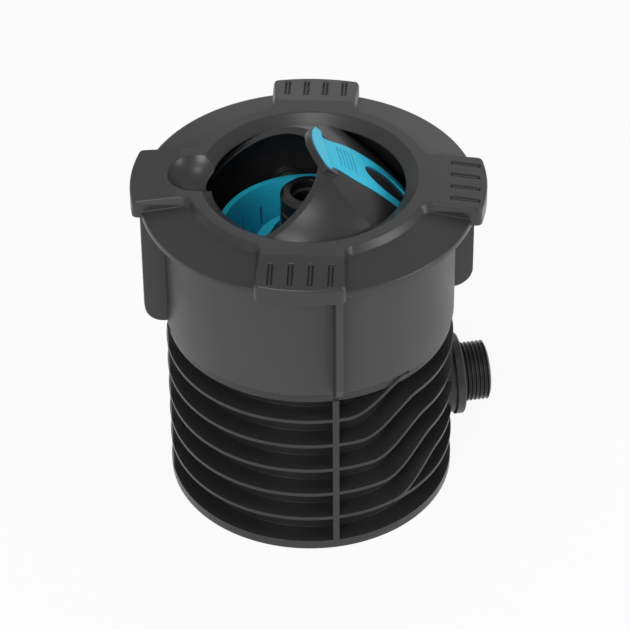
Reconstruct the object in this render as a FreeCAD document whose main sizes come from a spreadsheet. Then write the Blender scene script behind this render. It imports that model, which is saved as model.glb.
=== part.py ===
import FreeCAD, Part
import math
import os

import Sketcher

# In-ground water outlet box: ribbed pot, smooth upper shell, collar ring, swivel lid, sieve cup,
# coupling nose and one threaded side spigot.
# Millimetres, +Z up, origin at the bottom centre of the base, spigot along +X.

doc = FreeCAD.newDocument("outlet_box")

DIMENSIONS = {
    # whole box
    "total_height": 156.0,
    "shell_radius": 62.5,
    # ribbed pot
    "pot_wall_outer": 53.0,
    "pot_wall_inner": 50.5,
    "pot_floor": 4.0,
    "base_flange": 4.8,
    "rib_first": 18.0,
    "rib_pitch": 13.75,
    "rib_thick": 1.6,
    "rib_post": 2.8,
    "pot_band_low": 83.5,
    "pot_band_high": 87.0,
    "pot_band_radius": 61.7,
    "pot_lip_top": 92.0,
    "drain_radius": 3.5,
    "drain_circle": 40.0,
    # smooth upper shell
    "shell_wall": 3.0,
    "shell_top": 147.2,
    "fin_radius": 71.8,
    "fin_thick": 3.0,
    "fin_low": 88.5,
    "fin_top": 144.8,
    "fin_corner": 9.0,
    # collar ring
    "opening_top": 46.2,
    "opening_low": 41.0,
    "bevel_depth": 4.0,
    "plateau_radius": 51.4,
    "step_foot": 53.2,
    "step_depth": 3.5,
    "rim_radius": 71.5,
    "rim_drop": 7.6,
    "rim_low_drop": 10.5,
    "lug_radius": 75.2,
    "lug_half": 18.7,
    "lug_fall": 2.8,
    "lug_fall_start": 55.0,
    "skirt_outer": 59.1,
    "skirt_inner": 55.6,
    "skirt_low": 134.0,
    "collar_turned": -13.0,
    # lid, a sphere that turns about a level axis through its centre
    "lid_centre": 116.0,
    "lid_radius": 54.0,
    "lid_wall": 2.4,
    "cap_top": 45.7,
    "cap_sphere": 120.0,
    "lead_tilt": 12.8,
    "lead_offset": 41.6,
    "trail_offset": 44.0,
    "cheek_low": 9.0,
    "cheek_flat": 53.6,
    "lid_opened": 45.0,
    "pin_radius": 4.0,
    "pin_clearance": 0.05,
    "pin_end": 58.8,
    # turquoise inlay, thumb tab and oval badge recess on the lid
    "tab_tip": 40.6,
    "tab_half": 15.3,
    "tab_shoulder": 34.5,
    "tab_top": 42.2,
    "inlay_proud": 0.3,
    "inlay_sunk": 0.9,
    "badge_centre": 4.0,
    "badge_long": 15.0,
    "badge_wide": 7.8,
    "badge_sunk": 0.5,
    "badge_floor": 1.2,
    # sieve cup
    "cup_rim_radius": 39.3,
    "cup_rim_top": 128.0,
    "cup_floor_radius": 35.5,
    "cup_bottom": 84.0,
    "cup_wall": 1.6,
    "sleeve_top": 120.0,
    "sleeve_outer": 23.3,
    "sleeve_inner": 18.7,
    "slot_width": 1.2,
    # coupling nose and riser
    "nose_radius": 12.0,
    "nose_top": 148.0,
    "nose_bore": 7.7,
    "nose_foot": 112.0,
    "nose_seat": 128.2,
    "riser_radius": 14.5,
    "riser_bore": 9.5,
    "riser_neck": 12.0,
    "riser_top": 126.0,
    "socket_radius": 13.3,
    "socket_floor": 62.0,
    "elbow_top": 78.0,
    "elbow_column": 17.0,
    "elbow_branch": 15.5,
    "elbow_reach": 41.5,
    "elbow_foot": 26.0,
    "foot_thick": 4.0,
    "screw_circle": 21.0,
    "screw_radius": 1.5,
    # check valve in the nose
    "poppet_radius": 8.2,
    "poppet_low": 120.5,
    "poppet_high": 123.5,
    "stem_radius": 2.5,
    "spider_low": 103.0,
    "spider_high": 106.0,
    "spring_radius": 6.5,
    "spring_wire": 0.6,
    # inlet
    "inlet_height": 38.0,
    "thread_major": 13.22,
    "thread_pitch": 1.814,
    "thread_depth": 1.16,
    "spigot_end": 79.4,
    "spigot_bore": 9.0,
    "spigot_tube": 12.3,
    "spigot_flange": 18.2,
    "boss_inner": 47.0,
    "boss_outer": 62.6,
    "flange_inner": 63.2,
    "flange_outer": 67.0,
}

sheet = doc.addObject("Spreadsheet::Sheet", "dims")
for row, (alias, value) in enumerate(DIMENSIONS.items(), start=1):
    sheet.set(f"A{row}", alias)
    sheet.set(f"B{row}", str(value))
    sheet.setAlias(f"B{row}", alias)
doc.recompute()


def size(name):
    """The value of a driving dimension, read back from the sheet."""
    return float(sheet.get(name))


def bind(feature, **expressions):
    """Drive properties of a feature from the sheet: a word is a cell, anything longer is a formula."""
    for prop, expression in expressions.items():
        feature.setExpression(prop, str(expression))
    return feature


def d(formula):
    """Turn a formula of bare aliases into a spreadsheet expression."""
    words = formula.replace("(", " ( ").replace(")", " ) ").replace("*", " * ").replace("/", " / ").split()
    return " ".join(f"dims.{w}" if w in DIMENSIONS else w for w in words)


def place(feature, x=None, y=None, z=None, turn=None, axis=None):
    """Set a feature's Placement: expressions for the base point, and a fixed turn about an axis."""
    if turn is not None:
        feature.Placement = FreeCAD.Placement(FreeCAD.Vector(), FreeCAD.Rotation(axis, turn))
    for prop, formula in (("x", x), ("y", y), ("z", z)):
        if formula is not None:
            feature.setExpression(f"Placement.Base.{prop}", d(formula))
    return feature


def cylinder(name, radius, height, x=None, y=None, z=None, turn=None, axis=None):
    feature = doc.addObject("Part::Cylinder", name)
    bind(feature, Radius=d(radius), Height=d(height))
    return place(feature, x, y, z, turn, axis)


def box(name, length, width, height, x=None, y=None, z=None):
    feature = doc.addObject("Part::Box", name)
    bind(feature, Length=d(length), Width=d(width), Height=d(height))
    return place(feature, x, y, z)


def spoke(name, inner, outer, width, low, high, angle):
    """A box that runs outwards from the Z axis, turned to an angle."""
    cosine, sine = math.cos(math.radians(angle)), math.sin(math.radians(angle))
    feature = box(name, f"({outer}) - ({inner})", width, f"({high}) - ({low})")
    spin = FreeCAD.Rotation(FreeCAD.Vector(0, 0, 1), angle)
    feature.Placement = FreeCAD.Placement(FreeCAD.Vector(), spin)
    return place(feature, f"({inner}) * ({cosine:.6f}) + ({width}) / 2 * ({sine:.6f})",
                 f"({inner}) * ({sine:.6f}) - ({width}) / 2 * ({cosine:.6f})", low)


def sector(name, radius, low, high, start, sweep):
    """A slice of a disc between two heights."""
    feature = cylinder(name, radius, f"({high}) - ({low})")
    feature.Angle = sweep
    spin = FreeCAD.Rotation(FreeCAD.Vector(0, 0, 1), start)
    feature.Placement = FreeCAD.Placement(FreeCAD.Vector(), spin)
    return place(feature, None, None, low)


def ball(name, radius, z):
    feature = doc.addObject("Part::Sphere", name)
    bind(feature, Radius=d(radius))
    return place(feature, None, None, z)


def cut(name, base, tool):
    feature = doc.addObject("Part::Cut", name)
    feature.Base = base
    feature.Tool = tool
    return feature


def fuse(name, *shapes):
    feature = doc.addObject("Part::MultiFuse", name)
    feature.Shapes = list(shapes)
    feature.Refine = True
    return feature


def common(name, *shapes):
    feature = doc.addObject("Part::MultiCommon", name)
    feature.Shapes = list(shapes)
    return feature


def revolved(name, outline):
    """A PartDesign body turned about Z from a closed outline of (radius, height) formula corners."""
    body = doc.addObject("PartDesign::Body", name)
    sketch = body.newObject("Sketcher::SketchObject", name + "_sketch")
    plane = [f for f in body.Origin.OriginFeatures if f.Role == "XZ_Plane"][0]
    sketch.AttachmentSupport = [(plane, "")]
    sketch.MapMode = "FlatFace"
    corners = [(evaluate(r), evaluate(z)) for r, z in outline]
    count = len(corners)
    for i, (r, z) in enumerate(corners):
        r2, z2 = corners[(i + 1) % count]
        sketch.addGeometry(Part.LineSegment(FreeCAD.Vector(r, z, 0), FreeCAD.Vector(r2, z2, 0)))
    for i in range(count):
        sketch.addConstraint(Sketcher.Constraint("Coincident", i, 2, (i + 1) % count, 1))
    for i, (r, z) in enumerate(corners):
        if abs(r) < 1e-9:
            sketch.addConstraint(Sketcher.Constraint("PointOnObject", i, 1, -2))
        else:
            index = sketch.addConstraint(Sketcher.Constraint("DistanceX", -1, 1, i, 1, r))
            sketch.setExpression(f"Constraints[{index}]", d(outline[i][0]))
        if abs(z) < 1e-9:
            sketch.addConstraint(Sketcher.Constraint("PointOnObject", i, 1, -1))
        else:
            index = sketch.addConstraint(Sketcher.Constraint("DistanceY", -1, 1, i, 1, z))
            sketch.setExpression(f"Constraints[{index}]", d(outline[i][1]))
    turn = body.newObject("PartDesign::Revolution", name + "_turn")
    turn.Profile = sketch
    turn.ReferenceAxis = (sketch, ["V_Axis"])
    turn.Angle = 360.0
    body.Tip = turn
    return body


def evaluate(formula):
    """The number that a formula of aliases gives, worked out by the document itself."""
    return float(doc.getObject("dims").evalExpression(d(formula)))


def solid_feature(name, shape):
    """A Part::Feature for a shape that primitives and revolutions can't make."""
    feature = doc.addObject("Part::Feature", name)
    feature.Shape = shape
    return feature


def turned(feature, degrees):
    """Turn a feature about the box's own Z axis, on top of the place it already has."""
    turn = FreeCAD.Placement(FreeCAD.Vector(), FreeCAD.Rotation(FreeCAD.Vector(0, 0, 1), degrees))
    feature.Placement = turn.multiply(feature.Placement)
    return feature


def along_x(feature):
    """Lay a body that was turned about Z along the inlet's axis."""
    rotation = FreeCAD.Rotation(FreeCAD.Vector(0, 1, 0), 90)
    feature.Placement = FreeCAD.Placement(FreeCAD.Vector(0, 0, size("inlet_height")), rotation)
    return feature


def edges_where(shape, test):
    """Numbers of the edges whose middle point and direction pass a test."""
    found = []
    for number, edge in enumerate(shape.Edges, start=1):
        middle = edge.valueAt((edge.FirstParameter + edge.LastParameter) / 2)
        if test(edge, middle):
            found.append(number)
    return found


def fillet(name, base, radius, test):
    doc.recompute()
    feature = doc.addObject("Part::Fillet", name)
    feature.Base = base
    feature.Edges = [(number, radius, radius) for number in edges_where(base.Shape, test)]
    return feature


def upright_between(inner, outer):
    """A test that picks upright edges whose distance from the Z axis lies between two radii."""
    def test(edge, middle):
        straight_up = abs(edge.tangentAt(edge.FirstParameter).z) > 0.9
        return straight_up and inner < math.hypot(middle.x, middle.y) < outer
    return test


parts = {}


def finished(label, feature):
    """Give a finished sub-part its name and keep it for export."""
    feature.Label = label
    parts[label] = feature
    return feature


# ---------------------------------------- ribbed pot

RAMP_FIRST = 39.0
RAMP_STEP = 5.1
RAMP_HALF = 14.0
RIB_COUNT = 5
POST_COUNT = 4


def rib_height(number):
    return size("rib_first") + number * size("rib_pitch")


def rib_sector(name, number, start, sweep):
    """A flat rib over part of the circle."""
    level = f"rib_first + {number} * rib_pitch"
    return sector(name, "shell_radius", f"{level} - rib_thick / 2", f"{level} + rib_thick / 2", start,
                  sweep)


def ramp_edge(radius, low, rise, start, end):
    """The S-curve that carries a rib up by one pitch."""
    count = 12
    points = []
    for i in range(count + 1):
        share = i / count
        angle = math.radians(start + (end - start) * share)
        height = low + rise * (1 - math.cos(math.pi * share)) / 2
        points.append(FreeCAD.Vector(radius * math.cos(angle), radius * math.sin(angle), height))
    curve = Part.BSplineCurve()
    curve.interpolate(points)
    return curve.toShape()


def rib_ramp(name, number, mirrored):
    """The sloping stretch of a rib between its low and its raised level."""
    middle = RAMP_FIRST - RAMP_STEP * number
    start, end = middle - RAMP_HALF - 90, middle + RAMP_HALF - 90
    if mirrored:
        start, end = -start, -end
    low = rib_height(number) - size("rib_thick") / 2
    inner, outer = size("pot_wall_outer") - 0.8, size("shell_radius")
    rise = size("rib_pitch")
    corners = [(inner, low), (outer, low), (outer, low + size("rib_thick")),
               (inner, low + size("rib_thick"))]
    edges = [ramp_edge(radius, height, rise, start, end) for radius, height in corners]
    faces = [Part.makeRuledSurface(edges[i], edges[(i + 1) % 4]) for i in range(4)]
    for which in (0, 1):
        ends = [edge.Vertexes[which].Point for edge in edges]
        faces.append(Part.Face(Part.makePolygon(ends + ends[:1])))
    shell = Part.makeShell(faces)
    shell.sewShape()
    solid = Part.makeSolid(shell)
    if solid.Volume < 0:
        solid.reverse()
    return solid_feature(name, solid)


def make_lower_shell():
    pot = revolved("pot_body", [
        ("0", "0"),
        ("shell_radius - 0.6", "0"),
        ("shell_radius", "0.6"),
        ("shell_radius", "base_flange"),
        ("pot_wall_outer", "base_flange"),
        ("pot_wall_outer", "pot_band_low"),
        ("pot_band_radius", "pot_band_low"),
        ("pot_band_radius", "pot_band_high"),
        ("59.2", "pot_band_high"),
        ("59.2", "pot_lip_top"),
        ("57.6", "pot_lip_top"),
        ("57.6", "pot_band_high"),
        ("pot_wall_inner", "pot_band_high"),
        ("pot_wall_inner", "pot_floor"),
        ("0", "pot_floor"),
    ])
    sectors = []
    for number in range(RIB_COUNT):
        middle = RAMP_FIRST - RAMP_STEP * number
        start, end = middle - RAMP_HALF, middle + RAMP_HALF
        if number == 0:
            sectors.append(rib_sector("rib_0_level", 0, 0, 360))
        else:
            sectors.append(rib_sector(f"rib_{number}_low", number, 90 - start, 180 + 2 * start))
        if number < RIB_COUNT - 1:
            sectors.append(rib_sector(f"rib_{number}_raised", number + 1, end - 90, 180 - 2 * end))
    core = cylinder("rib_core", "pot_wall_outer - 0.8", "total_height")
    rings = cut("rib_rings", fuse("rib_sectors", *sectors), core)
    ramps = []
    for number in range(RIB_COUNT):
        for side, mirrored in (("front", False), ("rear", True)):
            ramps.append(rib_ramp(f"ramp_{number}_{side}", number, mirrored))
    trimmed = common("ramps_trimmed", fuse("pot_ramps", *ramps),
                     cylinder("ramp_limit", "shell_radius", "pot_band_high - 0.3"))
    posts = [spoke(f"post_{i}", "pot_wall_outer - 0.8", "shell_radius - 0.05", "rib_post",
                   "base_flange - 0.3", "pot_band_low + 0.3",
                   360 / POST_COUNT * i) for i in range(POST_COUNT)]
    boss = cylinder("inlet_boss", "17.2", "boss_outer - boss_inner", "boss_inner", None, "inlet_height", 90,
                    FreeCAD.Vector(0, 1, 0))
    hole = cylinder("inlet_hole", "12.6", "30", "40", None, "inlet_height", 90, FreeCAD.Vector(0, 1, 0))
    drains = []
    for i in range(6):
        angle = math.radians(30 + 60 * i)
        drains.append(cylinder(f"drain_{i}", "drain_radius", "12",
                               f"drain_circle * ({math.cos(angle):.6f})",
                               f"drain_circle * ({math.sin(angle):.6f})", "0 - 2"))
    pilots = []
    for i in range(3):
        angle = math.radians(60 + 120 * i)
        pilots.append(cylinder(f"pilot_{i}", "screw_radius", "6", f"screw_circle * ({math.cos(angle):.6f})",
                               f"screw_circle * ({math.sin(angle):.6f})", "1.2"))
    solid = fuse("pot_with_ribs", pot, rings, trimmed, *posts, boss)
    finished("lower_shell", cut("lower_shell_cut", solid, fuse("pot_holes", hole, *drains, *pilots)))


# ---------------------------------------- smooth upper shell with fins and pivot ears

TONGUE_HALF = 10.0


def make_upper_shell():
    shell = revolved("shell_body", [
        ("shell_radius - shell_wall", "pot_band_high"),
        ("shell_radius - 1.2", "pot_band_high"),
        ("shell_radius - 0.35", "pot_band_high + 0.35"),
        ("shell_radius", "pot_band_high + 1.2"),
        ("shell_radius", "shell_top"),
        ("shell_radius - shell_wall", "shell_top"),
    ])
    fins = []
    for i in range(4):
        blade = box(f"fin_blade_{i}", "fin_radius - shell_radius + 1", "fin_thick", "fin_top - fin_low",
                    "shell_radius - 1", "0 - fin_thick / 2", "fin_low")
        rounded = fillet(f"fin_round_{i}", blade, size("fin_corner"), lambda edge, m: (
            m.x > size("fin_radius") - 0.1 and m.z < size("fin_low") + 0.1))
        doc.recompute()
        fin = solid_feature(f"fin_{i}", rounded.Shape.copy())
        fins.append(turned(fin, 90 * i))
    ledges = []
    for i in range(4):
        middle = 45 + size("collar_turned") + 90 * i
        outer = "shell_radius - shell_wall + 0.4"
        ledges.append(sector(f"ledge_{i}", outer, "131", "133.5", middle - 14, 23))
        ledges.append(sector(f"stop_{i}", outer, "127.4", "131.5", middle - 14, 3.4))
    ledge_core = cylinder("ledge_core", "57.3", "total_height")
    ring = cut("ledge_ring", fuse("ledge_blocks", *ledges), ledge_core)
    ear_tube = revolved("ear_tube", [
        ("55.2", "106"), ("shell_radius - shell_wall + 0.4", "106"),
        ("shell_radius - shell_wall + 0.4", "126"),
        ("55.2", "126")])
    ears = common("shell_ears", ear_tube, box("ear_limit", "18", "140", "40", "0 - 9", "0 - 70", "100"))
    bore = cylinder("pivot_bore", "pin_radius + pin_clearance", "2 * pin_end + 0.8", None,
                    "0 - pin_end - 0.4",
                    "lid_centre", -90, FreeCAD.Vector(1, 0, 0))
    finished("upper_shell", cut("upper_shell_cut", fuse("upper_shell_fuse", shell, *fins, ring, ears),
                                bore))


# ---------------------------------------- collar ring with lugs, grips and a finger scoop

GRIP_COUNT = 4
GRIP_PITCH = 8.2
GRIP_LONG = 12.5
PLATEAU_DEEP = 10.2
SCOOP_MIDDLE = 47.0
SCOOP_RADIUS = 14.9
SCOOP_RISE = 7.3


def lug_box(name, along, across, heights, turn, follow=False):
    """A block on a lug, given by its spans along and across it. It can follow the slope of the lug's top."""
    corner = FreeCAD.Vector(along[0], across[0], heights[0])
    block = Part.makeBox(along[1] - along[0], across[1] - across[0], heights[1] - heights[0], corner)
    if follow:
        start = size("lug_fall_start")
        slope = math.degrees(math.atan2(size("lug_fall"), size("lug_radius") + 2 - start))
        block.rotate(FreeCAD.Vector(start, 0, size("total_height")), FreeCAD.Vector(0, 1, 0), slope)
    block.rotate(FreeCAD.Vector(), FreeCAD.Vector(0, 0, 1), turn)
    return solid_feature(name, block)


def sloped_prism(name, base, top, across, down):
    """The same plan as an upright prism, with its walls leaning in over the last stretch below the top."""
    doc.recompute()
    lid = [face for face in base.Shape.Faces if abs(face.CenterOfMass.z - top) < 0.01][0]
    foot = lid.OuterWire.translated(FreeCAD.Vector(0, 0, -down))
    head = lid.OuterWire.makeOffset2D(-across)
    leaning = Part.makeLoft([foot, head], True, True)
    upright = Part.Face(foot).extrude(FreeCAD.Vector(0, 0, base.Shape.BoundBox.ZMin - top + down))
    return solid_feature(name, upright.fuse(leaning).removeSplitter())


def scoop_bowl(name, grow):
    """The finger scoop: a shallow round bowl, sunk into the collar and open towards the lid."""
    bowl = doc.addObject("Part::Sphere", name)
    bind(bowl, Radius=SCOOP_RADIUS + grow)
    return place(bowl, f"0 - {SCOOP_MIDDLE}", None, f"total_height + {SCOOP_RISE}")


def make_collar():
    top = size("total_height")
    slab = revolved("collar_slab", [
        ("opening_low", "total_height - bevel_depth"),
        ("opening_top", "total_height"),
        ("plateau_radius", "total_height"),
        ("step_foot", "total_height - step_depth"),
        ("rim_radius - 1.0", "total_height - rim_drop + 0.5"),
        ("rim_radius - 0.3", "total_height - rim_drop + 0.2"),
        ("rim_radius", "total_height - rim_drop - 0.5"),
        ("rim_radius", "total_height - rim_low_drop + 0.4"),
        ("rim_radius - 0.4", "total_height - rim_low_drop"),
        ("opening_low", "total_height - rim_low_drop"),
    ])
    doc.recompute()
    low = f"total_height - {PLATEAU_DEEP}"
    disc = cylinder("plateau_disc", "plateau_radius + 1.4", f"{PLATEAU_DEEP}", None, None, low)
    arms = [spoke(f"plateau_arm_{i}", "0", "lug_radius + 4", "2 * lug_half", low, "total_height", 90 * i)
            for i in range(4)]
    limit = cylinder("plateau_limit", "lug_radius", f"{PLATEAU_DEEP}", None, None, low)
    star = common("plateau_star", fuse("plateau_cross", disc, *arms), limit)
    star.Refine = True
    softened = fillet("plateau_inner_corners", star, 5.0, upright_between(50, 60))
    softened = fillet("plateau_outer_corners", softened, 2.5, upright_between(70, 80))
    sloped = sloped_prism("plateau_slope", softened, top, 1.5, size("step_depth") - 0.2)
    wedges = [lug_box(f"lug_fall_{i}", (size("lug_fall_start"), 90.0), (-30.0, 30.0), (top, top + 8), 90 * i,
                      follow=True) for i in range(4)]
    sloped = cut("plateau_falling", sloped, fuse("lug_fall_wedges", *wedges))
    under = revolved("collar_under", [
        ("0", "100"),
        ("69.0", "100"),
        ("69.0", "total_height - 9.6"),
        ("63.4", "total_height - 8.5"),
        ("55.6", "total_height - 8.5"),
        ("50.0", "total_height - 6.6"),
        ("44.5", "total_height - bevel_depth - 0.3"),
        ("0", "total_height - bevel_depth - 0.3"),
    ])
    hollows = [lug_box(f"lug_hollow_{i}", (64.0, 72.6), (-16.0, 16.0), (top - 12, top - 4.5), 90 * i)
               for i in range(4)]
    roof = cut("collar_roof", fuse("collar_top", slab, sloped), fuse("collar_hollow", under, *hollows))
    skirt = revolved("collar_skirt", [
        ("skirt_inner", "skirt_low"),
        ("skirt_outer", "skirt_low"),
        ("skirt_outer", "total_height - 6"),
        ("skirt_inner", "total_height - 6"),
    ])
    tongues = []
    for i in range(4):
        start = 45 + 90 * i - TONGUE_HALF
        tongues.append(sector(f"tongue_leg_{i}", "57", "127.6", "135", start, 2 * TONGUE_HALF))
        tongues.append(sector(f"tongue_hook_{i}", "skirt_outer", "127.6", "130.7", start, 2 * TONGUE_HALF))
    tongue_core = cylinder("tongue_core", "skirt_inner", "total_height")
    tongue_ring = cut("collar_tongues", fuse("tongue_blocks", *tongues), tongue_core)
    cup = common("scoop_cup", scoop_bowl("scoop_outside", 1.5),
                 box("scoop_limit", "60", "60", "20", "0 - 80", "0 - 30", "total_height - 23"))
    raised = fuse("collar_raised", roof, skirt, tongue_ring, cup)
    opening = revolved("collar_opening", [
        ("0", "total_height - 20"),
        ("opening_low", "total_height - 20"),
        ("opening_low", "total_height - bevel_depth"),
        ("opening_top", "total_height"),
        ("opening_top + 1.3", "total_height + 1"),
        ("0", "total_height + 1"),
    ])
    clearance = ball("lid_space", "lid_radius + 0.33", "lid_centre")
    pocket = scoop_bowl("scoop_pocket", 0.0)
    slots, ridges = [], []
    for turn in (0, 90, 270):
        for i in range(GRIP_COUNT):
            offset = (i - (GRIP_COUNT - 1) / 2) * GRIP_PITCH
            slot = lug_box(f"grip_slot_{turn}_{i}", (59.8, 59.8 + GRIP_LONG),
                           (offset - 1.15, offset + 1.15),
                           (top - 1.0, top + 1.0), turn, True)
            ridge = lug_box(f"grip_ridge_{turn}_{i}", (60.3, 59.3 + GRIP_LONG),
                            (offset - 0.42, offset + 0.42),
                            (top - 1.2, top - 0.1), turn, True)
            slots.append(slot)
            ridges.append(ridge)
    opened = cut("collar_opened", raised, fuse("collar_tools", opening, clearance, pocket, *slots))
    collar = fuse("collar_ring_fuse", opened, *ridges)
    turned(collar, size("collar_turned"))
    finished("collar_ring", collar)


# ---------------------------------------- swivel lid: dome, inlay, badge plate, two pins

LID_REACH = 60.0
INLAY_HALVES = ((-33.0, 13.9), (-30.8, 11.9), (-28.4, 10.3), (-25.0, 10.6), (-20.0, 12.0), (-10.0, 12.6),
                (4.0, 12.7), (16.0, 12.1), (25.0, 10.2))
INLAY_TIP = 31.0
INLAY_LINES = 5


def raised_open(feature):
    """Carry a lid piece from its shut place to the raised place it rests in."""
    centre = FreeCAD.Vector(0, 0, size("lid_centre"))
    tilt = FreeCAD.Rotation(FreeCAD.Vector(0, 1, 0), size("lid_opened"))
    swing = FreeCAD.Placement(FreeCAD.Vector(), tilt, centre)
    feature.Placement = swing.multiply(feature.Placement)
    return feature


def lid_side(name):
    """The dome's side view: the tilted leading plane, the trailing plane and the cheeks' lower edge."""
    tilt = math.radians(size("lead_tilt"))
    corners = []
    for height in (-size("cheek_low"), LID_REACH):
        lead = -(size("lead_offset") - height * math.sin(tilt)) / math.cos(tilt)
        corners.append((lead, height))
    profile = [corners[0], (size("trail_offset"), -size("cheek_low")), (size("trail_offset"), LID_REACH),
               corners[1]]
    flat = size("cheek_flat")
    vectors = [FreeCAD.Vector(x, -flat, size("lid_centre") + h) for x, h in profile]
    face = Part.Face(Part.makePolygon(vectors + vectors[:1]))
    return solid_feature(name, face.extrude(FreeCAD.Vector(0, 2 * flat, 0)))


def crown(name, offset):
    """A copy of the dome's shallow cap sphere, grown or shrunk by an offset."""
    return ball(name, f"cap_sphere + ({offset})", "lid_centre + cap_top - cap_sphere")


def smooth_edge(points):
    curve = Part.BSplineCurve()
    curve.interpolate(points)
    return curve.toShape()


def inlay_plan(name, grow, low, high):
    """The inlay's plan: a band that narrows away from the tab and ends in a round tip."""
    upper = [FreeCAD.Vector(x, half + grow, low) for x, half in INLAY_HALVES]
    lower = [FreeCAD.Vector(point.x, -point.y, low) for point in reversed(upper)]
    tip = Part.Arc(upper[-1], FreeCAD.Vector(INLAY_TIP + grow, 0, low), lower[0])
    edges = [smooth_edge(upper), tip.toShape(), smooth_edge(lower),
             Part.LineSegment(lower[-1], upper[0]).toShape()]
    return solid_feature(name, Part.Face(Part.Wire(edges)).extrude(FreeCAD.Vector(0, 0, high - low)))


def badge_plan(name, grow, low, high):
    """An upright oval prism in the badge's place."""
    centre = FreeCAD.Vector(size("badge_centre"), 0, low)
    ellipse = Part.Ellipse(centre, size("badge_long") + grow, size("badge_wide") + grow)
    plate = Part.Face(Part.Wire(ellipse.toShape()))
    return solid_feature(name, plate.extrude(FreeCAD.Vector(0, 0, high - low)))


def tab_plan(name, shrink, low, high, inner):
    """The thumb tab's block: a bowed outer end between two shoulders."""
    base = size("lid_centre") + low
    half, shoulder = size("tab_half") - shrink, -size("tab_shoulder")
    bow = Part.Arc(FreeCAD.Vector(shoulder, half, base), FreeCAD.Vector(shrink - size("tab_tip"), 0, base),
                   FreeCAD.Vector(shoulder, -half, base))
    corners = [(shoulder, -half), (-inner, -half), (-inner, half), (shoulder, half)]
    vectors = [FreeCAD.Vector(x, y, base) for x, y in corners]
    edges = [bow.toShape()] + [Part.LineSegment(a, b).toShape() for a, b in zip(vectors, vectors[1:])]
    return solid_feature(name, Part.Face(Part.Wire(edges)).extrude(FreeCAD.Vector(0, 0, high - low)))


def make_lid():
    high = size("lid_centre") + size("cap_top")
    outer = common("dome_outer", ball("lid_ball", "lid_radius", "lid_centre"), crown("lid_crown", "0"))
    inner = common("dome_inner", ball("lid_core", "lid_radius - lid_wall", "lid_centre"),
                   crown("lid_crown_core", "0 - lid_wall"))
    hub_y = "0 - cheek_flat"
    hubs = cut("pivot_hubs", cylinder("hub_bar", "8", "2 * cheek_flat", None, hub_y, "lid_centre", -90,
                                      FreeCAD.Vector(1, 0, 0)),
               box("hub_gap", "40", "99", "40", "0 - 20", "0 - 49.5", "lid_centre - 20"))
    holes = cylinder("pivot_holes", "pin_radius + 0.02", "120", None, "0 - 60", "lid_centre", -90,
                     FreeCAD.Vector(1, 0, 0))
    tab_top, sunk = size("tab_top"), size("inlay_sunk")
    tab = tab_plan("lid_tab", 0.0, tab_top - 3.0, tab_top, 28.0)
    shell = common("dome_shell", fuse("dome_with_hubs", cut("dome_hollow", outer, inner), hubs),
                   lid_side("dome_side"))
    inlay_space = cut("inlay_space", inlay_plan("inlay_room", 0.05, high - 6, high + 6),
                      crown("inlay_room_floor", "0 - inlay_sunk"))
    badge_space = cut("badge_space", badge_plan("badge_room", 0.05, high - 6, high + 6),
                      crown("badge_room_floor", "0 - badge_floor"))
    tab_space = tab_plan("tab_space", 1.2, tab_top - sunk, tab_top + 4, 31.5)
    spaces = fuse("dome_spaces", holes, inlay_space, tab_space)
    dome = cut("lid_dome_cut", cut("dome_with_inlay_room", fuse("dome_with_tab", shell, tab), spaces),
               badge_space)
    finished("lid_dome", raised_open(dome))

    band = common("inlay_band", inlay_plan("inlay_plate", 0.0, high - 6, high + 6),
                  crown("inlay_top", "inlay_proud"))
    plate = tab_plan("inlay_tab", 1.25, tab_top - sunk, tab_top + size("inlay_proud"), 31.5)
    lines = [box(f"inlay_line_{i}", "0.7", "14", "8", f"{-25.0 + 1.9 * i}", "0 - 7",
                 "lid_centre + cap_top - 8") for i in range(INLAY_LINES)]
    grooves = cut("inlay_grooves", fuse("inlay_lines", *lines), crown("groove_floor", "0 - 0.1"))
    blank = cut("inlay_blank", band, crown("inlay_floor", "0 - inlay_sunk + 0.01"))
    inlay = cut("lid_inlay_cut", fuse("inlay_joined", blank, plate),
                fuse("inlay_removed", badge_plan("badge_window", 0.0, high - 6, high + 6), grooves))
    finished("lid_inlay", raised_open(inlay))

    badge = cut("lid_badge_cut", common("badge_top", badge_plan("badge_blank", -0.05, high - 6, high + 6),
                                        crown("badge_crown", "0 - badge_sunk")),
                                        crown("badge_floor_cut", "0 - badge_floor + 0.01"))
    finished("lid_badge", raised_open(badge))

    for label, start, foot in (("lid_pin_front", "0 - pin_end", "0 - 49.5"),
                               ("lid_pin_rear", "47.5", "47.5")):
        shaft = cylinder(label + "_shaft", "pin_radius", "pin_end - 47.5", None, start, "lid_centre", -90,
                         FreeCAD.Vector(1, 0, 0))
        flange = cylinder(label + "_flange", "6", "2", None, foot, "lid_centre", -90,
                          FreeCAD.Vector(1, 0, 0))
        finished(label, raised_open(fuse(label + "_fuse", shaft, flange)))


# ---------------------------------------- sieve cup, coupling nose and riser

CUP_SLOTS = 22
CUP_TIERS = ((92.0, 102.0), (107.0, 117.0))


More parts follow.
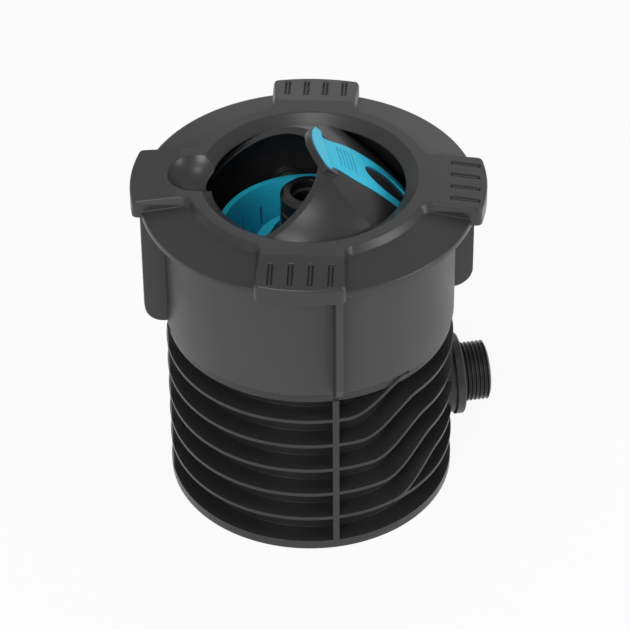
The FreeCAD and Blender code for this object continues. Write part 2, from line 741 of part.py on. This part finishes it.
def make_sieve_cup():
    cup = revolved("cup_body", [
        ("sleeve_inner", "cup_bottom"),
        ("cup_floor_radius + 1.1", "cup_bottom"),
        ("38.4", "cup_rim_top - 2"),
        ("cup_rim_radius", "cup_rim_top - 2"),
        ("cup_rim_radius", "cup_rim_top"),
        ("36.9", "cup_rim_top"),
        ("36.7", "cup_rim_top - 3"),
        ("cup_floor_radius - 0.4", "cup_bottom + cup_wall"),
        ("sleeve_inner + 1.6", "cup_bottom + cup_wall"),
        ("sleeve_inner + 1.6", "sleeve_top - 1.4"),
        ("sleeve_outer", "sleeve_top - 1.4"),
        ("sleeve_outer", "sleeve_top"),
        ("sleeve_inner", "sleeve_top"),
    ])
    slots = [spoke(f"cup_slot_{tier}_{i}", "33", "41", "slot_width", f"{low}", f"{high}",
                   360 / CUP_SLOTS * i)
             for tier, (low, high) in enumerate(CUP_TIERS) for i in range(CUP_SLOTS)]
    finished("sieve_cup", cut("sieve_cup_cut", cup, fuse("cup_slots", *slots)))


def make_nose_and_riser():
    finished("connector_nose", revolved("nose_body", [
        ("nose_bore", "nose_seat"),
        ("nose_bore", "142"),
        ("9", "142"),
        ("9", "144"),
        ("nose_bore", "144"),
        ("nose_bore", "nose_top"),
        ("nose_radius - 1.6", "nose_top"),
        ("nose_radius", "nose_top - 1.6"),
        ("nose_radius", "141.2"),
        ("nose_radius - 0.8", "140.6"),
        ("nose_radius - 0.8", "139.4"),
        ("nose_radius", "138.8"),
        ("12.4", "128"),
        ("16", "125"),
        ("16", "nose_foot"),
        ("riser_neck + 0.02", "nose_foot"),
        ("riser_neck + 0.02", "nose_seat"),
    ]))
    finished("riser_pipe", revolved("riser_body", [
        ("riser_bore", "socket_floor"),
        ("13", "socket_floor"),
        ("13", "66"),
        ("11.3", "66"),
        ("11.3", "68.4"),
        ("13", "68.4"),
        ("13", "elbow_top"),
        ("21", "elbow_top"),
        ("21", "cup_bottom"),
        ("riser_radius", "cup_bottom"),
        ("riser_radius", "nose_foot"),
        ("riser_neck", "nose_foot"),
        ("riser_neck", "riser_top"),
        ("riser_bore", "riser_top"),
    ]))
    for label, radius, wire, height in (("nose_oring", 8.0, 0.95, 143.0),
                                        ("riser_oring", 12.3, 0.98, 67.2)):
        ring = doc.addObject("Part::Torus", label + "_torus")
        bind(ring, Radius1=radius, Radius2=wire)
        ring.Placement = FreeCAD.Placement(FreeCAD.Vector(0, 0, height), FreeCAD.Rotation())
        finished(label, ring)


def make_elbow():
    lying = (90, FreeCAD.Vector(0, 1, 0))
    column = cylinder("elbow_column_body", "elbow_column", "elbow_top - 8", None, None, "8")
    foot = cylinder("elbow_foot_plate", "elbow_foot", "foot_thick", None, None, "pot_floor")
    branch = cylinder("elbow_branch_body", "elbow_branch", "elbow_reach", None, None, "inlet_height",
                      *lying)
    bores = [
        cylinder("elbow_up_bore", "riser_bore", "socket_floor - inlet_height + 1", None, None,
                 "inlet_height"),
        ball("elbow_turn", "riser_bore", "inlet_height"),
        cylinder("elbow_side_bore", "riser_bore", "elbow_reach + 1", None, None, "inlet_height", *lying),
        cylinder("elbow_up_socket", "socket_radius", "20", None, None, "socket_floor"),
        cylinder("elbow_side_socket", "spigot_tube + 0.02", "12", "34", None, "inlet_height", *lying),
    ]
    for i in range(3):
        angle = math.radians(60 + 120 * i)
        x, y = f"screw_circle * ({math.cos(angle):.6f})", f"screw_circle * ({math.sin(angle):.6f})"
        bores.append(cylinder(f"foot_hole_{i}", "screw_radius + 0.2", "8", x, y, "pot_floor - 1"))
        shank = cylinder(f"screw_shank_{i}", "screw_radius - 0.02", "pot_floor + foot_thick - 1.2", x, y,
                         "1.4")
        head = cylinder(f"screw_head_{i}", "3.2", "2", x, y, "pot_floor + foot_thick")
        across = box(f"screw_slot_{i}", "8", "0.8", "2", x + " - 4", y + " - 0.4",
                     "pot_floor + foot_thick + 1.1")
        finished(f"elbow_screw_{i + 1}", cut(f"screw_cut_{i}", fuse(f"screw_fuse_{i}", shank, head),
                                             across))
    finished("elbow_fitting", cut("elbow_cut", fuse("elbow_solid", column, foot, branch),
                                  fuse("elbow_bores", *bores)))


# ---------------------------------------- inlet spigot, gasket and locknut

THREAD_START = 68.4
THREAD_COUNT = 6


def make_inlet():
    outline = [
        ("spigot_bore", "34.2"),
        ("spigot_tube", "34.2"),
        ("spigot_tube", "flange_inner"),
        ("spigot_flange", "flange_inner"),
        ("spigot_flange", "flange_outer - 0.5"),
        ("spigot_flange - 0.5", "flange_outer"),
        ("thread_major - thread_depth", "flange_outer"),
    ]
    for i in range(THREAD_COUNT):
        start = f"{THREAD_START} + {i} * thread_pitch"
        outline += [
            ("thread_major - thread_depth", f"{start} + 0.12 * thread_pitch"),
            ("thread_major", f"{start} + 0.44 * thread_pitch"),
            ("thread_major", f"{start} + 0.6 * thread_pitch"),
            ("thread_major - thread_depth", f"{start} + 0.92 * thread_pitch"),
        ]
    outline += [
        ("thread_major - thread_depth", "spigot_end - 0.6"),
        ("thread_major - thread_depth - 0.6", "spigot_end"),
        ("spigot_bore", "spigot_end"),
    ]
    finished("inlet_spigot", along_x(revolved("spigot_body", outline)))
    finished("spigot_gasket", along_x(revolved("gasket_body", [
        ("12.6", "boss_outer"), ("17", "boss_outer"), ("17", "flange_inner"), ("12.6", "flange_inner")])))
    nut = doc.addObject("Part::Prism", "nut_block")
    nut.Polygon = 6
    bind(nut, Circumradius=16.5, Height=5)
    nut.Placement = FreeCAD.Placement(FreeCAD.Vector(), FreeCAD.Rotation(FreeCAD.Vector(0, 1, 0), 90))
    place(nut, "boss_inner - 5", None, "inlet_height")
    hole = cylinder("nut_hole", "spigot_tube + 0.03", "12", "boss_inner - 8", None, "inlet_height", 90,
                    FreeCAD.Vector(0, 1, 0))
    finished("spigot_locknut", cut("nut_cut", nut, hole))


# ---------------------------------------- check valve: seat, poppet, seal, spring, spider

SPRING_TURNS = 5


def make_valve():
    finished("valve_seat", revolved("seat_body", [
        ("5.6", "riser_top"), ("riser_neck - 0.05", "riser_top"), ("riser_neck - 0.05", "nose_seat"),
        ("5.6", "nose_seat")]))
    disc = revolved("poppet_body", [
        ("0", "96"),
        ("stem_radius - 0.6", "96"),
        ("stem_radius", "96.6"),
        ("stem_radius", "poppet_low"),
        ("poppet_radius", "poppet_low"),
        ("poppet_radius", "poppet_high"),
        ("3", "poppet_high"),
        ("3", "139"),
        ("2", "140"),
        ("0", "140"),
    ])
    finished("valve_poppet", disc)
    finished("poppet_seal", revolved("seal_body", [
        ("3.02", "poppet_high"), ("8", "poppet_high"), ("8", "riser_top - 0.05"),
        ("3.02", "riser_top - 0.05")]))
    hub = revolved("spider_hub", [
        ("stem_radius + 0.05", "spider_low"), ("4.5", "spider_low"), ("4.5", "spider_high"),
        ("stem_radius + 0.05", "spider_high")])
    rim = revolved("spider_rim", [
        ("8.2", "spider_low"), ("riser_bore - 0.02", "spider_low"), ("riser_bore - 0.02", "spider_high"),
        ("8.2", "spider_high")])
    arms = [spoke(f"spider_arm_{i}", "4", "8.6", "1.8", "spider_low", "spider_high",
                  120 * i) for i in range(3)]
    finished("spring_spider", fuse("spider_fuse", hub, rim, *arms))
    wire = size("spring_wire")
    low, high = size("spider_high") + wire, size("poppet_low") - wire
    helix = Part.makeHelix((high - low) / SPRING_TURNS, high - low, size("spring_radius"))
    helix.translate(FreeCAD.Vector(0, 0, low))
    section = Part.Wire(Part.makeCircle(wire, FreeCAD.Vector(size("spring_radius"), 0, low),
                                        FreeCAD.Vector(0, 1, 0)))
    coil = Part.Wire(helix).makePipeShell([section], True, True)
    finished("valve_spring", solid_feature("spring_coil", coil))


def export_parts():
    doc.recompute()
    broken = [o.Name for o in doc.Objects if set(o.State) & {"Invalid", "Error"}]
    if broken:
        raise SystemExit(f"failed features: {broken}")
    os.makedirs("parts", exist_ok=True)
    for label, feature in parts.items():
        shape = feature.Shape
        if shape.isNull() or not shape.isValid() or not shape.Solids:
            raise SystemExit(f"{label} is not a valid solid")
        print(f"{label:18s} solids {len(shape.Solids)} volume {shape.Volume:10.1f}", shape.BoundBox)
        shape.exportStep(f"parts/{label}.step")


make_lower_shell()
make_upper_shell()
make_collar()
make_lid()
make_sieve_cup()
make_nose_and_riser()
make_elbow()
make_inlet()
make_valve()
export_parts()
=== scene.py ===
# %% [markdown]
# # In-ground water outlet box
# A garden water outlet that is sunk into the lawn: a ribbed pot, a smooth shell with fins, a collar ring with
# four lugs, and a domed lid that swings open over a turquoise sieve cup and a black hose nose.
# The CAD model comes in as a fixed frame and keeps its shape. Blender adds finishes that soften the edges in
# their shading, light and a camera.

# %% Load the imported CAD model
import math

import bpy
from mathutils import Matrix, Vector

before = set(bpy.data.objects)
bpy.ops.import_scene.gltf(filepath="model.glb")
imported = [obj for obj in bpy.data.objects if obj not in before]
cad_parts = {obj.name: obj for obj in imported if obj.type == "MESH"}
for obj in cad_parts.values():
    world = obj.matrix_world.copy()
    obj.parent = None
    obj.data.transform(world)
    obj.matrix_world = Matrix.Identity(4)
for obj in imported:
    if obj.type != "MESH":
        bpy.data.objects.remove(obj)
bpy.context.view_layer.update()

# %% [markdown]
# ## The camera
# The box is seen from above and from a little left of the front, from far away through a long lens, so that
# upright lines stay nearly parallel. Three angles turn the camera about its target: how far round the
# object it stands, how high it stands, and a slight roll.

# %% Camera
CAMERA_TARGET = Vector((0.0, 0.0, 0.081))
CAMERA_DISTANCE = 1.375
CAMERA_ROUND = math.radians(-9.8)
CAMERA_HEIGHT = math.radians(38.851)
CAMERA_ROLL = math.radians(-0.563)

camera_data = bpy.data.cameras.new("studio_camera")
camera_data.sensor_width = 36.0
camera_data.lens = 180.77
camera_data.shift_x = 0.00832
camera_data.shift_y = -0.00078
camera = bpy.data.objects.new("studio_camera", camera_data)
bpy.context.scene.collection.objects.link(camera)
away = Vector((math.sin(CAMERA_ROUND) * math.cos(CAMERA_HEIGHT),
               -math.cos(CAMERA_ROUND) * math.cos(CAMERA_HEIGHT),
               math.sin(CAMERA_HEIGHT)))
turn = Matrix.Rotation(CAMERA_ROUND, 4, "Z") @ Matrix.Rotation(math.pi / 2 - CAMERA_HEIGHT, 4, "X")
camera.matrix_world = (Matrix.Translation(CAMERA_TARGET + CAMERA_DISTANCE * away) @ turn
                       @ Matrix.Rotation(CAMERA_ROLL, 4, "Z"))
bpy.context.scene.camera = camera
print("camera at", [round(c, 3) for c in camera.location])

# %% [markdown]
# ## Helpers for node materials
# Every finish here is a small node tree on a Principled shader. One helper adds a node, sets its sockets and
# wires its inputs, so that each material reads as a list of what feeds what.

# %% Node helpers
def add_node(tree, kind, values=None, links=None, **settings):
    """Add a node, give its sockets their values, and wire other nodes' outputs into its inputs."""
    node = tree.nodes.new(kind)
    for name, value in settings.items():
        setattr(node, name, value)
    for socket, value in (values or {}).items():
        node.inputs[socket].default_value = value
    for socket, output in (links or {}).items():
        tree.links.new(output, node.inputs[socket])
    return node


def start_material(name):
    """A new node material that holds only its output, and the object coordinates."""
    material = bpy.data.materials.new(name)
    material.use_nodes = True
    tree = material.node_tree
    tree.nodes.clear()
    place = add_node(tree, "ShaderNodeTexCoord").outputs["Object"]
    return material, tree, place


def finish_material(tree, shader):
    add_node(tree, "ShaderNodeOutputMaterial", links={"Surface": shader.outputs["BSDF"]})


# %% [markdown]
# ## Moulded plastic
# Injection-moulded plastic is one colour all through. What the eye reads is the mould: a fine etched grain that
# breaks up reflections, a faint cloudiness where the melt flowed, and edges that are never quite sharp.
# The grain is a small noise used as bump, the cloudiness is a large noise that nudges colour and roughness, and
# the Bevel node rounds the shading over each edge.

# %% Moulded plastic
def moulded_plastic(name, dark, light, roughness, grain, depth, edge, specular=0.5):
    """dark and light are linear colours, roughness a pair, grain the size of the etching in metres."""
    material, tree, place = start_material(name)
    fine = add_node(tree, "ShaderNodeTexNoise", {"Scale": 1.0 / grain, "Detail": 3.0}, {"Vector": place})
    flow = add_node(tree, "ShaderNodeTexNoise", {"Scale": 22.0, "Detail": 3.0, "Distortion": 0.6},
                    {"Vector": place})
    colour = add_node(tree, "ShaderNodeMix", {6: (*dark, 1.0), 7: (*light, 1.0)},
                      {0: flow.outputs["Fac"]}, data_type="RGBA")
    worn = add_node(tree, "ShaderNodeMapRange",
                    {"From Min": 0.35, "From Max": 0.65, "To Min": roughness[0], "To Max": roughness[1]},
                    {"Value": flow.outputs["Fac"]})
    rounded = add_node(tree, "ShaderNodeBevel", {"Radius": edge}, samples=6)
    etched = add_node(tree, "ShaderNodeBump", {"Strength": 0.5, "Distance": depth},
                      {"Height": fine.outputs["Fac"], "Normal": rounded.outputs["Normal"]})
    shader = add_node(tree, "ShaderNodeBsdfPrincipled", {"Specular IOR Level": specular},
                      {"Base Color": colour.outputs[2], "Roughness": worn.outputs["Result"],
                       "Normal": etched.outputs["Normal"]})
    finish_material(tree, shader)
    return material


shell_finish = moulded_plastic("shell_plastic", (0.034, 0.034, 0.035), (0.043, 0.043, 0.044),
                               (0.40, 0.48), 0.0007, 0.00004, 0.0007)
# The pot is the shell's charcoal plastic made darker: painted shade for the shadowed recesses between its ribs.
pot_finish_painted_shade = moulded_plastic("pot_plastic_painted_shade", (0.018, 0.018, 0.019), (0.023, 0.023, 0.024),
                             (0.34, 0.42), 0.0008, 0.00004, 0.0004)
collar_finish = moulded_plastic("collar_plastic", (0.025, 0.025, 0.026), (0.032, 0.032, 0.033),
                                (0.30, 0.37), 0.0007, 0.00003, 0.0010)
lid_finish = moulded_plastic("lid_plastic", (0.018, 0.018, 0.019), (0.024, 0.024, 0.026),
                             (0.28, 0.35), 0.0006, 0.00002, 0.0006)
badge_finish = moulded_plastic("badge_plastic", (0.020, 0.020, 0.021), (0.026, 0.026, 0.028),
                               (0.26, 0.34), 0.0005, 0.00002, 0.0003)
turquoise_finish = moulded_plastic("turquoise_plastic", (0.022, 0.50, 0.72), (0.030, 0.56, 0.78),
                                   (0.34, 0.42), 0.0006, 0.00002, 0.0004)
black_finish = moulded_plastic("black_plastic", (0.006, 0.006, 0.006), (0.010, 0.010, 0.011),
                               (0.18, 0.25), 0.0006, 0.00002, 0.0005)
spigot_finish = moulded_plastic("spigot_plastic", (0.018, 0.018, 0.019), (0.024, 0.024, 0.025),
                                (0.30, 0.40), 0.0006, 0.00002, 0.00025)
pin_finish = moulded_plastic("pin_plastic", (0.060, 0.060, 0.064), (0.075, 0.075, 0.080),
                             (0.38, 0.46), 0.0005, 0.00002, 0.0004)
print("moulded finishes:", len(bpy.data.materials))

# %% [markdown]
# ## Rubber and spring steel
# The seals are matt black rubber with a dusty bloom. The spring and the screws are drawn wire: a metal with fine
# lines that run round the piece, made from a noise that is stretched along one axis.

# %% Rubber
def seal_rubber():
    material, tree, place = start_material("seal_rubber")
    bloom = add_node(tree, "ShaderNodeTexNoise", {"Scale": 160.0, "Detail": 5.0}, {"Vector": place})
    colour = add_node(tree, "ShaderNodeMix", {6: (0.008, 0.008, 0.008, 1.0), 7: (0.020, 0.020, 0.021, 1.0)},
                      {0: bloom.outputs["Fac"]}, data_type="RGBA")
    skin = add_node(tree, "ShaderNodeBump", {"Strength": 0.4, "Distance": 0.00003},
                    {"Height": bloom.outputs["Fac"]})
    shader = add_node(tree, "ShaderNodeBsdfPrincipled", {"Roughness": 0.72},
                      {"Base Color": colour.outputs[2], "Normal": skin.outputs["Normal"]})
    finish_material(tree, shader)
    return material


# %% Drawn steel
def drawn_steel():
    material, tree, place = start_material("spring_steel")
    stretched = add_node(tree, "ShaderNodeMapping", {"Scale": (300.0, 300.0, 4000.0)}, {"Vector": place})
    lines = add_node(tree, "ShaderNodeTexNoise", {"Scale": 1.0, "Detail": 2.0},
                     {"Vector": stretched.outputs["Vector"]})
    colour = add_node(tree, "ShaderNodeMix", {6: (0.52, 0.52, 0.53, 1.0), 7: (0.66, 0.66, 0.67, 1.0)},
                      {0: lines.outputs["Fac"]}, data_type="RGBA")
    dull = add_node(tree, "ShaderNodeMapRange", {"To Min": 0.24, "To Max": 0.40},
                    {"Value": lines.outputs["Fac"]})
    shader = add_node(tree, "ShaderNodeBsdfPrincipled", {"Metallic": 1.0},
                      {"Base Color": colour.outputs[2], "Roughness": dull.outputs["Result"]})
    finish_material(tree, shader)
    return material


rubber_finish = seal_rubber()
steel_finish = drawn_steel()

# %% [markdown]
# ## Dressing the CAD pieces
# A CAD piece whose shape is right keeps its mesh and only gets a finish in its material slots.

# %% Which finish each CAD piece wears
FINISHES = {
    "lower_shell": pot_finish_painted_shade, "upper_shell": shell_finish, "collar_ring": collar_finish,
    "lid_dome": lid_finish, "lid_inlay": turquoise_finish, "lid_badge": badge_finish,
    "lid_pin_front": pin_finish, "lid_pin_rear": pin_finish, "sieve_cup": turquoise_finish,
    "connector_nose": black_finish, "riser_pipe": black_finish, "elbow_fitting": black_finish,
    "inlet_spigot": spigot_finish, "spigot_locknut": spigot_finish, "spigot_gasket": rubber_finish,
    "nose_oring": rubber_finish, "riser_oring": rubber_finish, "poppet_seal": rubber_finish,
    "valve_seat": black_finish, "valve_poppet": pin_finish, "spring_spider": pin_finish,
    "valve_spring": steel_finish, "elbow_screw_1": steel_finish, "elbow_screw_2": steel_finish,
    "elbow_screw_3": steel_finish,
}


def dress(piece, material):
    piece.data.materials.clear()
    piece.data.materials.append(material)
    for face in piece.data.polygons:
        face.material_index = 0


for node, material in FINISHES.items():
    dress(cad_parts[node], material)
print("dressed", len(FINISHES), "CAD pieces")

# %% [markdown]
# ## Floor, world and lamps
# The studio is white. The floor's own colour makes the background: camera and mirror rays see it nearly white,
# while it still catches the box's soft shadow. The lamps stay at a plain level.

# %% Floor
FLOOR_SIZE = 8.0
FLOOR_GLOW_SHARE = 0.90
WORLD_LEVEL = 0.45


def select_none():
    if bpy.context.object is not None and bpy.context.object.mode != "OBJECT":
        bpy.ops.object.mode_set(mode="OBJECT")
    bpy.ops.object.select_all(action="DESELECT")


select_none()
bpy.ops.mesh.primitive_plane_add(size=FLOOR_SIZE, location=(0.0, 0.0, 0.0))
floor = bpy.context.object
floor.name = "studio_floor"

floor_finish = bpy.data.materials.new("studio_floor")
floor_finish.use_nodes = True
tree = floor_finish.node_tree
tree.nodes.clear()
path = add_node(tree, "ShaderNodeLightPath")
seen = add_node(tree, "ShaderNodeMath", links={0: path.outputs["Is Camera Ray"],
                                               1: path.outputs["Is Glossy Ray"]}, operation="MAXIMUM")
seen = add_node(tree, "ShaderNodeMath", links={0: seen.outputs[0], 1: path.outputs["Is Transmission Ray"]},
                operation="MAXIMUM")
share = add_node(tree, "ShaderNodeMath", {1: FLOOR_GLOW_SHARE}, {0: seen.outputs[0]}, operation="MULTIPLY")
matt = add_node(tree, "ShaderNodeBsdfDiffuse", {"Color": (0.80, 0.80, 0.80, 1.0)})
glow = add_node(tree, "ShaderNodeEmission", {"Color": (1.0, 1.0, 1.0, 1.0), "Strength": 1.0})
both = add_node(tree, "ShaderNodeMixShader", links={0: share.outputs[0], 1: matt.outputs[0],
                                                    2: glow.outputs[0]})
add_node(tree, "ShaderNodeOutputMaterial", links={"Surface": both.outputs[0]})
dress(floor, floor_finish)

# %% World
world = bpy.data.worlds.new("studio_world")
bpy.context.scene.world = world
world.use_nodes = True
world.node_tree.nodes["Background"].inputs["Color"].default_value = (1.0, 1.0, 1.0, 1.0)
world.node_tree.nodes["Background"].inputs["Strength"].default_value = WORLD_LEVEL

# %% Lamps
def soft_lamp(name, place, width, height, power):
    """A rectangular lamp that faces the box."""
    data = bpy.data.lights.new(name, "AREA")
    data.shape = "RECTANGLE"
    data.size, data.size_y, data.energy = width, height, power
    lamp = bpy.data.objects.new(name, data)
    bpy.context.scene.collection.objects.link(lamp)
    facing = (CAMERA_TARGET - Vector(place)).to_track_quat("-Z", "Y")
    lamp.matrix_world = Matrix.Translation(place) @ facing.to_matrix().to_4x4()
    return lamp


soft_lamp("key_lamp", (-0.8, -1.4, 1.2), 0.8, 0.8, 16.0)
soft_lamp("fill_lamp", (1.3, -0.8, 0.6), 0.7, 0.7, 9.0)
soft_lamp("top_lamp", (-0.2, -0.5, 1.7), 0.5, 0.5, 4.0)
soft_lamp("back_lamp", (0.5, 1.5, 0.9), 0.9, 0.5, 1.2)
bpy.context.scene.view_settings.view_transform = "Standard"
